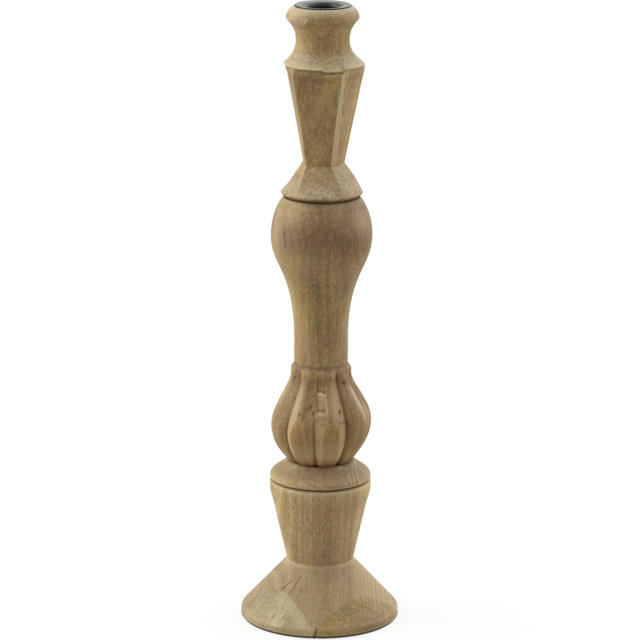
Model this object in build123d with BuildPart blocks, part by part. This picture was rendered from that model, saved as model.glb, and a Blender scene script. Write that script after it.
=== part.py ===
from build123d import *
import os
from math import cos, pi, radians, sin

# Candle stand of turned and carved wood in three glued sections, with a metal cup for a candle.
# Millimetres. The turning axis is Z and the stand's underside is at Z = 0.
# Azimuths are in degrees from the front (-Y) towards +X.

# Felt under the foot
felt_thickness = 1.0
felt_inset = 4.0

# Foot, turned from a square core with a block glued to each side
foot_radius = 56.0
foot_edge = 6.5
foot_round = 4.0
foot_arris = 0.8
foot_rise = 35.3
waist_radius = 23.5
core_share = 5 / 7
core_angle = 38.0
core_shift = 2.1

# Pedestal above the foot
pedestal_radius = 35.8
pedestal_rise = 52.9
pedestal_band = 6.8
pedestal_round = 3.0
joint_arris = 0.7

# Baluster: cushion, carved bulb, shaft and ball
cushion_radius = 35.6
cushion_height = 14.3
cushion_top_radius = 23.0
cushion_curve = (0.42, 0.56, 0.51)
lobe_count = 9
lobe_angle = 12.0
bulb_radius = 35.6
bulb_end_radius = 21.4
bulb_belly = 27.0
bulb_tuck = 1.0
bulb_rise = 39.2
bulb_collar = 3.5
seam_depth = 3.0
bulb_stations = 4
shaft_radius = 18.9
shaft_length = 17.5
ball_radius = 35.35
ball_rise = 74.0
shaft_curve = (0.68, 0.30)
ball_top_height = 26.2
ball_land_radius = 24.5
ball_curve = (0.53, 0.13, 0.565)

# Head: lip, five-sided skirt and funnel, neck and bead
joint_gap = 1.0
stub_radius = 21.5
lip_foot_radius = 25.0
lip_radius = 28.4
lip_height = 4.1
facet_count = 5
facet_angle = -10.0
facet_crown = 0.4
skirt_height = 20.2
throat_radius = 15.2
funnel_height = 62.5
funnel_radius = 27.3
flare_height = 7.5
flare_radius = 27.6
flare_flat_radius = 26.3
shoulder_radius = 28.0
shoulder_arris = 0.5
neck_radius = 18.6
neck_rise = 16.5
neck_curve = (0.35, 0.38, 0.85)
bead_radius = 25.4
bead_rise = 15.2
bead_curve = (0.62, 0.10)
rim_radius = 20.3
rim_rise = 7.8
rim_curve = (0.16, 0.33, 0.84)

# Dowels in the two glued joints
dowel_radius = 8.0
dowel_bevel = 1.0
glue_gap = 0.1
dowel_end_gap = 1.0
lower_dowel_length = 56.0
upper_dowel_length = 44.0

# Candle cup, which lifts out of the head
socket_radius = 11.25
socket_depth = 24.0
cup_wall = 0.9
cup_play = 0.3
flange_radius = 19.5
flange_lip = 2.0
flange_thickness = 1.0
flange_round = 0.4
dish_depth = 1.2

# Heights, each built on the one below
z_edge = felt_thickness + foot_edge
z_waist = z_edge + foot_rise
z_band = z_waist + pedestal_rise
z_low_joint = z_band + pedestal_band
z_cushion = z_low_joint + cushion_height
z_belly = z_cushion + bulb_belly
z_neckline = z_belly + bulb_rise
z_bulb = z_neckline + bulb_collar
z_shaft = z_bulb + shaft_length
z_ball = z_shaft + ball_rise
z_high_joint = z_ball + ball_top_height
z_lip_foot = z_high_joint + joint_gap
z_lip = z_lip_foot + lip_height
z_throat = z_lip + skirt_height
z_flare = z_throat + funnel_height
z_shoulder = z_flare + flare_height
z_neck = z_shoulder + neck_rise
z_bead = z_neck + bead_rise
z_rim = z_bead + rim_rise
z_top = z_rim + flange_thickness
z_mouth = z_top - dish_depth
z_socket = z_mouth - socket_depth

# Bores that the dowels and the cup's sleeve go into
dowel_bore = dowel_radius + glue_gap
lower_bore_depth = lower_dowel_length / 2 + dowel_end_gap
upper_bore_depth = upper_dowel_length / 2 + dowel_end_gap
sleeve_radius = socket_radius + cup_wall
sleeve_bore = sleeve_radius + cup_play
seat_radius = flange_radius - flange_lip
recess_radius = seat_radius + cup_play
recess_depth = dish_depth + cup_play
sleeve_bore_depth = z_rim - z_socket + cup_wall + cup_play

bottom_up = (Align.CENTER, Align.CENTER, Align.MIN)
top_down = (Align.CENTER, Align.CENTER, Align.MAX)


def at(radius, azimuth):
    """Point on a circle about the turning axis."""
    return (radius * sin(radians(azimuth)), -radius * cos(radians(azimuth)))


def turned(start, end, low, high, lean=0.0):
    """Turned curve that leaves its start upright and comes to its end upright, or with a lean."""
    width = start[0] - end[0]
    height = end[1] - start[1]
    leave = (start[0], start[1] + low * height)
    arrive = (end[0] + lean * width, end[1] - high * height)
    return Bezier(start, leave, arrive, end)


def scallops(count, turn, corner, middle):
    """Closed ring of equal arcs, with their ends on one circle and their middles on another."""
    half = 180.0 / count
    for k in range(count):
        centre = turn + 2 * half * k
        ThreePointArc(at(corner, centre - half), at(middle, centre), at(corner, centre + half))


def flat_radius(corner):
    """Distance of a slightly crowned facet from the axis, for its corner radius."""
    return corner * cos(pi / facet_count) + facet_crown


os.makedirs("parts", exist_ok=True)

# Felt disc that the stand rests on
with BuildPart() as base_felt:
    Cylinder(foot_radius - felt_inset, felt_thickness, align=bottom_up)
base_felt.part.label = "base_felt"
export_step(base_felt.part, "parts/base_felt.step")

# Turned outline shared by the core and the blocks of the foot
with BuildSketch(Plane.XZ) as foot_outline:
    with BuildLine():
        Polyline(
            (0, felt_thickness),
            (foot_radius - foot_arris, felt_thickness),
            (foot_radius, felt_thickness + foot_arris),
            (foot_radius, z_edge),
            (waist_radius, z_waist),
            (pedestal_radius, z_band),
            (pedestal_radius, z_low_joint - joint_arris),
            (pedestal_radius - joint_arris, z_low_joint),
            (0, z_low_joint),
            close=True,
        )
    make_face()
    fillet(foot_outline.vertices().sort_by_distance((foot_radius, z_edge))[0], foot_round)
    fillet(foot_outline.vertices().sort_by_distance((pedestal_radius, z_band))[0], pedestal_round)

# The square core stands off the turning axis by the same amount both ways
core_width = 2 * foot_radius * core_share
turned_square = Plane(origin=(0, 0, 0), x_dir=Vector(*at(1, core_angle)), z_dir=(0, 0, 1))
core_plane = turned_square.shift_origin(turned_square.from_local_coords((core_shift, core_shift, 0)))

# Pedestal with its core, and the dowel bore in its top
with BuildPart() as pedestal_core:
    revolve(foot_outline.sketch, axis=Axis.Z)
    with BuildSketch(core_plane):
        Rectangle(core_width, core_width)
    extrude(amount=z_low_joint, mode=Mode.INTERSECT)
    with Locations((0, 0, z_low_joint)):
        Cylinder(dowel_bore, lower_bore_depth, align=top_down, mode=Mode.SUBTRACT)
pedestal_core.part.label = "pedestal_core"
export_step(pedestal_core.part, "parts/pedestal_core.step")

# Four blocks: two as wide as the core, then two that cover the ends of those
block_stock = 2 * foot_radius - core_width
block_reach = (core_width + block_stock) / 2
block_length = 2 * foot_radius + block_stock
foot_blocks = {
    "foot_block_front_left": ((0, -block_reach), (core_width, block_stock)),
    "foot_block_back_right": ((0, block_reach), (core_width, block_stock)),
    "foot_block_front_right": ((block_reach, 0), (block_stock, block_length)),
    "foot_block_back_left": ((-block_reach, 0), (block_stock, block_length)),
}
for block_name, (block_place, block_size) in foot_blocks.items():
    with BuildPart() as foot_block:
        revolve(foot_outline.sketch, axis=Axis.Z)
        with BuildSketch(core_plane):
            with Locations(block_place):
                Rectangle(*block_size)
        extrude(amount=z_waist, mode=Mode.INTERSECT)
    foot_block.part.label = block_name
    export_step(foot_block.part, f"parts/{block_name}.step")

# Dowel between pedestal and baluster
with BuildPart() as lower_dowel:
    with Locations((0, 0, z_low_joint)):
        Cylinder(dowel_radius, lower_dowel_length)
    chamfer(lower_dowel.edges().filter_by(GeomType.CIRCLE), dowel_bevel)
lower_dowel.part.label = "lower_dowel"
export_step(lower_dowel.part, "parts/lower_dowel.step")

# Baluster: turned cushion, carved bulb, turned shaft and ball
with BuildPart() as baluster:
    with BuildSketch(Plane.XZ):
        with BuildLine():
            cushion_edge = (cushion_radius, z_low_joint + joint_arris)
            cushion_end = (cushion_top_radius, z_cushion)
            Polyline((0, z_cushion), (0, z_low_joint), (cushion_radius - joint_arris, z_low_joint), cushion_edge)
            turned(cushion_edge, cushion_end, *cushion_curve)
            Line(cushion_end, (0, z_cushion))
        make_face()
    revolve(axis=Axis.Z)
    for step in range(bulb_stations + 1):
        # Below the belly the crests fall in with the square of the distance
        share = 1 - step / bulb_stations
        crest = bulb_radius - (bulb_radius - bulb_end_radius) * share**2
        with BuildSketch(Plane.XY.offset(z_belly - share * (bulb_belly + bulb_tuck))):
            with BuildLine():
                scallops(lobe_count, lobe_angle, crest * (1 - seam_depth / bulb_radius), crest)
            make_face()
    for step in range(1, bulb_stations + 1):
        # Above the belly the crests follow half a cosine wave
        share = step / bulb_stations
        crest = bulb_end_radius + (bulb_radius - bulb_end_radius) * (1 + cos(pi * share)) / 2
        with BuildSketch(Plane.XY.offset(z_belly + share * bulb_rise)):
            with BuildLine():
                scallops(lobe_count, lobe_angle, crest * (1 - seam_depth / bulb_radius), crest)
            make_face()
    with BuildSketch(Plane.XY.offset(z_bulb)):
        with BuildLine():
            collar = bulb_end_radius * (1 - seam_depth / bulb_radius)
            scallops(lobe_count, lobe_angle, collar, bulb_end_radius)
        make_face()
    loft()
    with BuildSketch(Plane.XZ):
        with BuildLine():
            Polyline((0, z_high_joint), (0, z_belly), (shaft_radius, z_belly), (shaft_radius, z_shaft))
            turned((shaft_radius, z_shaft), (ball_radius, z_ball), *shaft_curve)
            turned((ball_radius, z_ball), (ball_land_radius, z_high_joint), *ball_curve)
            Line((ball_land_radius, z_high_joint), (0, z_high_joint))
        make_face()
    revolve(axis=Axis.Z)
    with Locations((0, 0, z_low_joint)):
        Cylinder(dowel_bore, lower_bore_depth, align=bottom_up, mode=Mode.SUBTRACT)
    with Locations((0, 0, z_high_joint)):
        Cylinder(dowel_bore, upper_bore_depth, align=top_down, mode=Mode.SUBTRACT)
baluster.part.label = "baluster"
export_step(baluster.part, "parts/baluster.step")

# Dowel between baluster and head
with BuildPart() as upper_dowel:
    with Locations((0, 0, z_high_joint)):
        Cylinder(dowel_radius, upper_dowel_length)
    chamfer(upper_dowel.edges().filter_by(GeomType.CIRCLE), dowel_bevel)
upper_dowel.part.label = "upper_dowel"
export_step(upper_dowel.part, "parts/upper_dowel.step")

# Head: stub and lip, faceted skirt and funnel, then the turned neck and bead
with BuildPart() as head:
    with BuildSketch(Plane.XZ):
        with BuildLine():
            lip_start = (lip_foot_radius, z_lip_foot)
            lip_end = (lip_radius, z_lip)
            Polyline((0, z_lip), (0, z_high_joint), (stub_radius, z_high_joint), (stub_radius, z_lip_foot), lip_start)
            Bezier(lip_start, (lip_radius, z_lip_foot), lip_end)
            Line(lip_end, (0, z_lip))
        make_face()
    revolve(axis=Axis.Z)
    with BuildSketch(Plane.XY.offset(z_lip)):
        with BuildLine():
            scallops(facet_count, facet_angle, lip_radius, lip_radius)
        make_face()
    with BuildSketch(Plane.XY.offset(z_throat)):
        with BuildLine():
            scallops(facet_count, facet_angle, throat_radius, flat_radius(throat_radius))
        make_face()
    loft(ruled=True)
    with BuildSketch(Plane.XY.offset(z_throat)):
        with BuildLine():
            scallops(facet_count, facet_angle, throat_radius, flat_radius(throat_radius))
        make_face()
    with BuildSketch(Plane.XY.offset(z_flare)):
        with BuildLine():
            scallops(facet_count, facet_angle, funnel_radius, flat_radius(funnel_radius))
        make_face()
    with BuildSketch(Plane.XY.offset(z_shoulder)):
        with BuildLine():
            scallops(facet_count, facet_angle, flare_radius, flare_flat_radius)
        make_face()
    loft(ruled=True)
    with BuildSketch(Plane.XZ):
        with BuildLine():
            shoulder_edge = (shoulder_radius, z_shoulder + shoulder_arris)
            Polyline((0, z_rim), (0, z_shoulder), (shoulder_radius, z_shoulder), shoulder_edge)
            turned((neck_radius, z_neck), shoulder_edge, *neck_curve)
            turned((neck_radius, z_neck), (bead_radius, z_bead), *bead_curve)
            turned((bead_radius, z_bead), (rim_radius, z_rim), *rim_curve)
            Line((rim_radius, z_rim), (0, z_rim))
        make_face()
    revolve(axis=Axis.Z)
    with Locations((0, 0, z_high_joint)):
        Cylinder(dowel_bore, upper_bore_depth, align=bottom_up, mode=Mode.SUBTRACT)
    with Locations((0, 0, z_rim)):
        Cylinder(recess_radius, recess_depth, align=top_down, mode=Mode.SUBTRACT)
        Cylinder(sleeve_bore, sleeve_bore_depth, align=top_down, mode=Mode.SUBTRACT)
head.part.label = "head"
export_step(head.part, "parts/head.step")

# Candle cup: dished flange, sleeve and floor in one pressing
with BuildPart() as candle_cup:
    with BuildSketch(Plane.XZ):
        with BuildLine():
            Polyline(
                (0, z_socket - cup_wall),
                (sleeve_radius, z_socket - cup_wall),
                (sleeve_radius, z_mouth - flange_thickness),
                (seat_radius, z_rim),
                (flange_radius, z_rim),
                (flange_radius, z_top),
                (seat_radius, z_top),
                (socket_radius, z_mouth),
                (socket_radius, z_socket),
                (0, z_socket),
                close=True,
            )
        make_face()
    revolve(axis=Axis.Z)
    rim_edges = candle_cup.edges().filter_by(GeomType.CIRCLE).group_by(Axis.Z)[-1]
    fillet(rim_edges.sort_by(SortBy.RADIUS)[-1], flange_round)
candle_cup.part.label = "candle_cup"
export_step(candle_cup.part, "parts/candle_cup.step")
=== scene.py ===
from math import cos, pi, radians, sin

import bmesh
import bpy
import numpy as np
from mathutils import Matrix, Vector


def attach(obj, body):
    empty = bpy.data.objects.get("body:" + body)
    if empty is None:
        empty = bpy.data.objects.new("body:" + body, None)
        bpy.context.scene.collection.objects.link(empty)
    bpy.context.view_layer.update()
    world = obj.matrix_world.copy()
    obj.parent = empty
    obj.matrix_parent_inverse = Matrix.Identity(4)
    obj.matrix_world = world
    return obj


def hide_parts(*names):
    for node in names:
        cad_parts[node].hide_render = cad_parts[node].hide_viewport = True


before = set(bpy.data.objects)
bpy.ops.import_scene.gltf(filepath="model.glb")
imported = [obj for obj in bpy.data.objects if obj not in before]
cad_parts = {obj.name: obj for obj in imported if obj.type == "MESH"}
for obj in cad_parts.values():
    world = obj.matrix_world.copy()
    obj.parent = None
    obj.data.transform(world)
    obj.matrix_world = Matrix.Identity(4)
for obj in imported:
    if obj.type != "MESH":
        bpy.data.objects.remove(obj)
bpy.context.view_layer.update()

# Candle stand of turned and carved mango wood with a zinc candle cup.
# Lengths are in millimetres until a mesh is made. Azimuths run from the front (-Y) towards +X.
MM = 0.001
TURN = np.radians(np.arange(360))
AZIMUTH = (np.degrees(TURN) + 180) % 360 - 180

# Heights up the stand
WOOD, EDGE, WAIST, FLARE, LOW_JOINT = 1.0, 7.5, 42.8, 88.5, 102.5
CUSHION, BELLY, NECKLINE, BULB, SHAFT, BALL = 116.8, 143.8, 183.0, 186.5, 204.0, 278.0
HIGH_JOINT, BALL_RIM, LIP_FOOT, LIP, THROAT, SHOULDER = 304.2, 306.1, 305.2, 309.3, 329.5, 399.5
NECK, BEAD, RIM, TOP = 416.0, 431.2, 439.0, 440.0

# Radii of the turned forms, from the foot up
FOOT_R, WAIST_R, FLARE_R, PEDESTAL_R, GROOVE_R = 56.0, 23.75, 33.9, 35.8, 33.8
CUSHION_R, LOBE_FOOT_R, LOBE_R, LOBE_TOP_R = 35.6, 23.0, 35.6, 21.4
SHAFT_R, BALL_R, BALL_RIM_R, STUB_R, LIP_R = 18.9, 35.35, 26.4, 23.6, 28.4
THROAT_R, FUNNEL_R, SHOULDER_R, NECK_R, BEAD_R, RIM_R = 15.2, 28.0, 27.5, 18.6, 25.4, 20.3
SOCKET_R, SLEEVE_R, FLANGE_R, FELT_R = 11.25, 12.15, 19.5, 52.0

# Bores for the dowels, and for the cup's sleeve and flange
DOWEL_BORE, LOW_BORE, HIGH_BORE = 8.1, 29.0, 23.0
SLEEVE_BORE, SLEEVE_FLOOR, RECESS, RECESS_FLOOR = 12.45, 413.6, 17.8, 437.5

# The foot's core is square stock, turned about the axis and with its centre off it both ways
CORE_HALF, CORE_OFF, CORE_TURN = 40.0, 2.1, radians(38)
CORE_X = Vector((sin(CORE_TURN), -cos(CORE_TURN), 0))
CORE_Y = Vector((cos(CORE_TURN), sin(CORE_TURN), 0))
# Half the width of a glue line
GLUE = 0.06

# Edges sharper than this stay crisp
CRISP = radians(50)


# Turned outlines and skins

def path(start, *legs):
    """Points along straight legs, each given by its end and usual step, without the last end itself."""
    points = []
    for end, step in legs:
        a, b = np.array(start, float), np.array(end, float)
        count = max(1, round(float(np.hypot(*(b - a))) / step))
        points += [tuple(a + (b - a) * k / count) for k in range(count)]
        start = end
    return points


def turned(start, end, low, high, lean=0.0, count=24):
    """A turned curve that leaves start upright and comes to end upright, or with a lean."""
    width, height = start[0] - end[0], end[1] - start[1]
    corners = np.array([
        start,
        (start[0], start[1] + low * height),
        (end[0] + lean * width, end[1] - high * height),
        end,
    ], float)
    t = (np.arange(count) / count)[:, None]
    weights = np.hstack([(1 - t) ** 3, 3 * (1 - t) ** 2 * t, 3 * (1 - t) * t * t, t ** 3])
    return [tuple(p) for p in weights @ corners]


def spun(rows):
    """Radius and height of each row, repeated for every degree round the axis."""
    rows = np.array(rows, float)
    return np.repeat(rows[:, :1], 360, 1), np.repeat(rows[:, 1:], 360, 1)


def ripple(height, seed, lobes, waves, amount):
    """Slow unevenness left by hand work, the same on every run."""
    rng = np.random.default_rng(seed)
    total = np.zeros_like(height)
    for _ in range(7):
        k = rng.integers(0, lobes + 1)
        w = rng.uniform(0.3, 1.0) * 2 * pi / waves
        total += rng.uniform(0.4, 1.0) * np.cos(k * TURN + w * height + rng.uniform(0, 2 * pi))
    return amount * total / 3


def step_up(low, high, x):
    """0 below low, 1 above high, with a smooth rise between."""
    t = np.clip((x - low) / (high - low), 0, 1)
    return t * t * (3 - 2 * t)


def within(low, full, ebb, high, x):
    """1 from full to ebb, 0 below low and above high, with smooth slopes between."""
    return step_up(low, full, x) * (1 - step_up(ebb, high, x))


def hump(x, centre, width):
    """A smooth hump, 1 at its centre."""
    return np.exp(-((x - centre) / width) ** 2)


def dents(turn, height, marks):
    """Depth of chips and tool marks, each given by azimuth, height, half width in degrees, half height and
    depth."""
    total = np.zeros(np.broadcast(turn, height).shape)
    for azimuth, level, wide, high, deep in marks:
        off = (np.degrees(turn) - azimuth + 180) % 360 - 180
        total += deep * np.exp(-(off / wide) ** 2 - ((height - level) / high) ** 2)
    return total


def scores(radius, height, marks, turn=TURN):
    """Depth of thin scored lines, each given by the azimuth and height of both ends, half width and depth."""
    total = np.zeros_like(radius)
    for (start, low), (end, high), wide, deep in marks:
        azimuth = start + (end - start) * np.clip((height - low) / (high - low), 0, 1)
        off = radius * np.radians((np.degrees(turn) - azimuth + 180) % 360 - 180)
        beyond = np.maximum(low - height, height - high).clip(0)
        total += deep * np.exp(-(off / wide) ** 2 - (beyond / wide) ** 2)
    return total


def creases(points, normals, rounds=14):
    """How far each point lies below its smoothed surroundings: over 0 in a hollow, under 0 on an edge."""
    soft = points.copy()
    for _ in range(rounds):
        up, down = np.vstack([soft[1:], soft[-1:]]), np.vstack([soft[:1], soft[:-1]])
        soft = (up + down + np.roll(soft, 1, 1) + np.roll(soft, -1, 1)) / 4
    return ((soft - points) * normals).sum(2)


def skin(name, radius, height, turn=TURN, hollow_shade=1.0, edge_wear_and_shade=1.0, tone_and_shade=0.0):
    """Closed mesh over rows that run round the axis, with the first and last row closed at the axis.
    Of the last three arguments, the first scales the painted shade that darkens the hollows, and the second
    how much the edges pale (under 0 it darkens them, as painted shade). The third darkens or, under 0, pales:
    it carries real tone together with painted light and shade."""
    rows = radius.shape[0]
    points = np.stack([radius * np.sin(turn), -radius * np.cos(turn), height], 2)
    flat = points.reshape(-1, 3)
    poles = [(0, 0, height[0].mean()), (0, 0, height[-1].mean())]
    first, last = len(flat), len(flat) + 1
    i, j = np.meshgrid(np.arange(rows - 1), np.arange(360), indexing="ij")
    k = (j + 1) % 360
    quads = np.stack([i * 360 + j, i * 360 + k, (i + 1) * 360 + k, (i + 1) * 360 + j], 2).reshape(-1, 4)
    fans = [(first, (c + 1) % 360, c) for c in range(360)]
    fans += [(last, (rows - 1) * 360 + c, (rows - 1) * 360 + (c + 1) % 360) for c in range(360)]
    mesh = bpy.data.meshes.new(name)
    mesh.from_pydata([tuple(p) for p in np.vstack([flat, poles]) * MM], [], quads.tolist() + fans)
    mesh.shade_smooth()
    normals = np.array([v.vector for v in mesh.vertex_normals])[: rows * 360].reshape(rows, 360, 3)
    hollows = creases(points, normals)
    # One mark holds the painted shade in hollows, the paler edges, and the given tone with its painted light
    # and shade
    marked = np.append((hollows * np.where(hollows > 0, hollow_shade, edge_wear_and_shade) + tone_and_shade).ravel(), [0, 0])
    mesh.attributes.new("crease", "FLOAT", "POINT").data.foreach_set("value", marked.astype(np.float32))
    mesh.set_sharp_from_angle(angle=CRISP)
    return mesh


def place(name, mesh, body, node, material):
    """Sets a finished mesh in the scene in the place of its solid."""
    piece = bpy.data.objects.new(name, mesh)
    bpy.context.scene.collection.objects.link(piece)
    piece.data.materials.append(material)
    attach(piece, body)
    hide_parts(node)
    return piece


# Materials

def linear(code):
    """Linear colour from an sRGB hex code."""
    parts = [int(code[i:i + 2], 16) / 255 for i in (1, 3, 5)]
    return tuple(c / 12.92 if c <= 0.04045 else ((c + 0.055) / 1.055) ** 2.4 for c in parts) + (1.0,)


def add(tree, kind, values=None, links=None, **settings):
    """Adds a node with its settings, socket values and incoming links."""
    node = tree.nodes.new(kind)
    for key, value in settings.items():
        setattr(node, key, value)
    for socket, value in (values or {}).items():
        node.inputs[socket].default_value = value
    for socket, source in (links or {}).items():
        tree.links.new(source, node.inputs[socket])
    return node


def fresh(name):
    """A new material with only its output node."""
    material = bpy.data.materials.new(name)
    material.use_nodes = True
    tree = material.node_tree
    tree.nodes.clear()
    return material, tree, tree.nodes.new("ShaderNodeOutputMaterial")


def turned_wood(name, pale, mid, dark, pith, shift, ring=6.0, contrast=1.0, sapwood=(500, "#A58B4C"),
                belts=(),
                sheen_haze=(0.12, "#8F8571"), along=(0.02, 0.015, 1.0), open_pores=0.55):
    """Waxed mango wood, turned and sanded: dull and mottled, with fine fibres, short dark pores and pale
    flecks. The beech of the dowels is made in the same way, only paler and plainer.
    pith is where the tree's centre lay, in millimetres, ring the usual width of a growth ring, and sapwood
    how far from the pith the outer wood begins, with its tint. belts are bands of other wood: height, half
    width, share, tint. The haze argument is the share and the tint of a pale haze on faces that look up, a
    painted sheen standing in for light from above reflected off the wax, along the way the grain runs, and
    open_pores how dark the pores are."""
    material, tree, out = fresh(name)
    spot = add(tree, "ShaderNodeTexCoord")
    # Object coordinates in millimetres, moved so that each piece is cut from its own place in the tree
    lie = Vector(along).rotation_difference(Vector((0, 0, 1))).to_euler()
    log = add(tree, "ShaderNodeMapping",
              {"Location": (-pith[0], -pith[1], shift), "Scale": (1000, 1000, 1000),
              "Rotation": lie}, {"Vector": spot.outputs["Object"]})
    # The grain sways by a few millimetres over about 120 mm of length
    bends = add(tree, "ShaderNodeMapping", {"Scale": (1 / 35, 1 / 35, 1 / 120)}, {"Vector": log.outputs[0]})
    sway = add(tree, "ShaderNodeTexNoise", {"Scale": 1.0, "Detail": 2.0}, {"Vector": bends.outputs[0]})
    grain = add(tree, "ShaderNodeVectorMath", {1: (9, 9, 0)}, {0: sway.outputs["Color"], 2: log.outputs[0]},
                operation="MULTIPLY_ADD")
    # Growth rings of uneven width, by distance from the pith
    cross = add(tree, "ShaderNodeVectorMath", {1: (1 / ring, 1 / ring, 0)}, {0: grain.outputs[0]},
                operation="MULTIPLY")
    reach = add(tree, "ShaderNodeVectorMath", {}, {0: cross.outputs[0]}, operation="LENGTH").outputs["Value"]
    rings = add(tree, "ShaderNodeTexNoise", {"Scale": 1.0, "Detail": 3.0, "Roughness": 0.6}, {"W": reach},
                noise_dimensions="1D").outputs[0]
    # Patterns drawn along the grain or through the log: width and length of a mark in millimetres,
    # detail, roughness
    patterns = []
    for base, wide, long, detail, coarse in (
        # Fibres
        (grain, 1.2, 24, 3.0, 0.6),
        # Pores, wider than real so that they show
        (grain, 0.8, 4, 2.0, 0.55),
        # Specks of wax and of dirt left by sanding
        (log, 1.7, 2.2, 3.0, 0.65),
        # Patches where heartwood or sapwood shows
        (log, 26, 60, 3.0, 0.5),
        # Slow drift between a redder and a yellower brown
        (grain, 13, 45, 2.0, 0.5),
    ):
        drawn = add(tree, "ShaderNodeMapping", {"Scale": (1 / wide, 1 / wide, 1 / long)},
                    {"Vector": base.outputs[0]})
        noise = add(tree, "ShaderNodeTexNoise", {"Scale": 1.0, "Detail": detail, "Roughness": coarse},
                    {"Vector": drawn.outputs[0]})
        patterns.append(noise.outputs[0])
    fibre, pore, speck, patch, drift = patterns
    # Tone from dark at 0 to pale at 1, with specks that hold on faces that look up
    shares = []
    for source, share in ((fibre, 0.22), (rings, 0.24), (patch, 0.30), (speck, 0.34)):
        shares.append(add(tree, "ShaderNodeMapRange", {"From Min": 0.3, "From Max": 0.7,
                      "To Min": -share * contrast, "To Max": share * contrast}, {"Value": source},
                      clamp=False))
    facing = add(tree, "ShaderNodeSeparateXYZ", {}, {0: spot.outputs["Normal"]}).outputs["Z"]
    held = add(tree, "ShaderNodeMapRange", {"From Min": 0.1, "From Max": 0.6, "To Min": 0.7, "To Max": 1.25},
               {"Value": facing})
    shares[-1] = add(tree, "ShaderNodeMath", {}, {0: shares[-1].outputs[0], 1: held.outputs[0]},
                     operation="MULTIPLY")
    tone = shares[0]
    for share in shares[1:]:
        tone = add(tree, "ShaderNodeMath", {}, {0: tone.outputs[0], 1: share.outputs[0]}, operation="ADD")
    middle = add(tree, "ShaderNodeMath", {1: 0.5}, {0: tone.outputs[0]}, operation="ADD", use_clamp=True)
    wood = add(tree, "ShaderNodeValToRGB", {}, {"Fac": middle.outputs[0]})
    stops = wood.color_ramp.elements
    stops[0].position, stops[0].color = 0.05, linear(dark)
    stops[1].position, stops[1].color = 0.95, linear(pale)
    stops.new(0.5).color = linear(mid)
    # Belts have an uneven edge, and are streaked along the fibres
    stood = add(tree, "ShaderNodeSeparateXYZ", {}, {0: spot.outputs["Object"]})
    ragged = add(tree, "ShaderNodeMath", {1: 0.03}, {0: patch, 2: stood.outputs["Z"]},
                 operation="MULTIPLY_ADD")
    streaky = add(tree, "ShaderNodeMapRange",
                  {"From Min": 0.35, "From Max": 0.65, "To Min": 1.0, "To Max": 0.6},
                  {"Value": fibre})
    bands = []
    for centre, half, share, tint in belts:
        away = add(tree, "ShaderNodeMath", {1: centre * MM + 0.015}, {0: ragged.outputs[0]},
                   operation="SUBTRACT")
        apart = add(tree, "ShaderNodeMath", {}, {0: away.outputs[0]}, operation="ABSOLUTE")
        bands.append((apart.outputs[0], half * MM, 0.0, share, tint, "SMOOTHSTEP", streaky))
    # The painted sheen on faces that look up is patchy, and keeps out of the hollows painted dark
    shade_and_wear = add(tree, "ShaderNodeAttribute", attribute_name="crease").outputs["Fac"]
    patchy = add(tree, "ShaderNodeMapRange",
                 {"From Min": 0.35, "From Max": 0.65, "To Min": 0.3, "To Max": 1.5},
                 {"Value": speck})
    spared = add(tree, "ShaderNodeMapRange",
                 {"From Min": 0.1, "From Max": 0.4, "To Min": 1.0, "To Max": 0.15},
                 {"Value": shade_and_wear})
    spread = add(tree, "ShaderNodeMath", {}, {0: patchy.outputs[0], 1: spared.outputs[0]},
                 operation="MULTIPLY")
    pores = add(tree, "ShaderNodeMapRange", {"From Min": 0.57, "From Max": 0.68, "To Max": open_pores},
                {"Value": pore}).outputs[0]
    # Layers of colour over the wood: what each follows, where it starts and is full, its share, its tint,
    # how it comes in, and what thins it
    sap_start, sap_full = (sapwood[0] - 5) / ring, (sapwood[0] + 8) / ring
    layers = [
        # Redder and yellower patches, then the sapwood and the belts
        (drift, 0.52, 0.66, 0.3, "#7D5F48", "LINEAR", None),
        (drift, 0.48, 0.34, 0.3, "#8E7D45", "LINEAR", None),
        (reach, sap_start, sap_full, 0.45, sapwood[1], "SMOOTHSTEP", None),
        *bands,
        # Dark wax in the pores, and pale flecks between them
        (pores, 0.0, 1.0, 1.0, "#453119", "LINEAR", None),
        (pore, 0.42, 0.28, 0.25, "#C3AE82", "LINEAR", None),
        # Painted shade in hollows and gaps, near black in the deepest, and edges rubbed pale; the marks given
        # on each mesh, real tone and painted light and shade alike, come in here too
        (shade_and_wear, 0.03, 0.5, 0.6, "#4A3218", "LINEAR", None),
        (shade_and_wear, 0.7, 1.3, 0.8, "#20160C", "LINEAR", None),
        (shade_and_wear, -0.04, -0.8, 0.6, "#C9B78E", "LINEAR", None),
        # Painted sheen: a grey haze on the faces that look up, standing in for light from above reflected off
        # the wax
        (facing, 0.35, 0.8, sheen_haze[0], sheen_haze[1], "LINEAR", spread),
    ]
    colour = wood.outputs[0]
    for follows, start, full, share, tint, ease, thinned in layers:
        cover = add(tree, "ShaderNodeMapRange", {"From Min": start, "From Max": full, "To Max": share},
                    {"Value": follows}, interpolation_type=ease).outputs[0]
        if thinned:
            cover = add(tree, "ShaderNodeMath", {}, {0: cover, 1: thinned.outputs[0]}, operation="MULTIPLY",
                        use_clamp=True).outputs[0]
        colour = add(tree, "ShaderNodeMix", {7: linear(tint)}, {0: cover, 6: colour},
                     data_type="RGBA").outputs[2]
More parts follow.
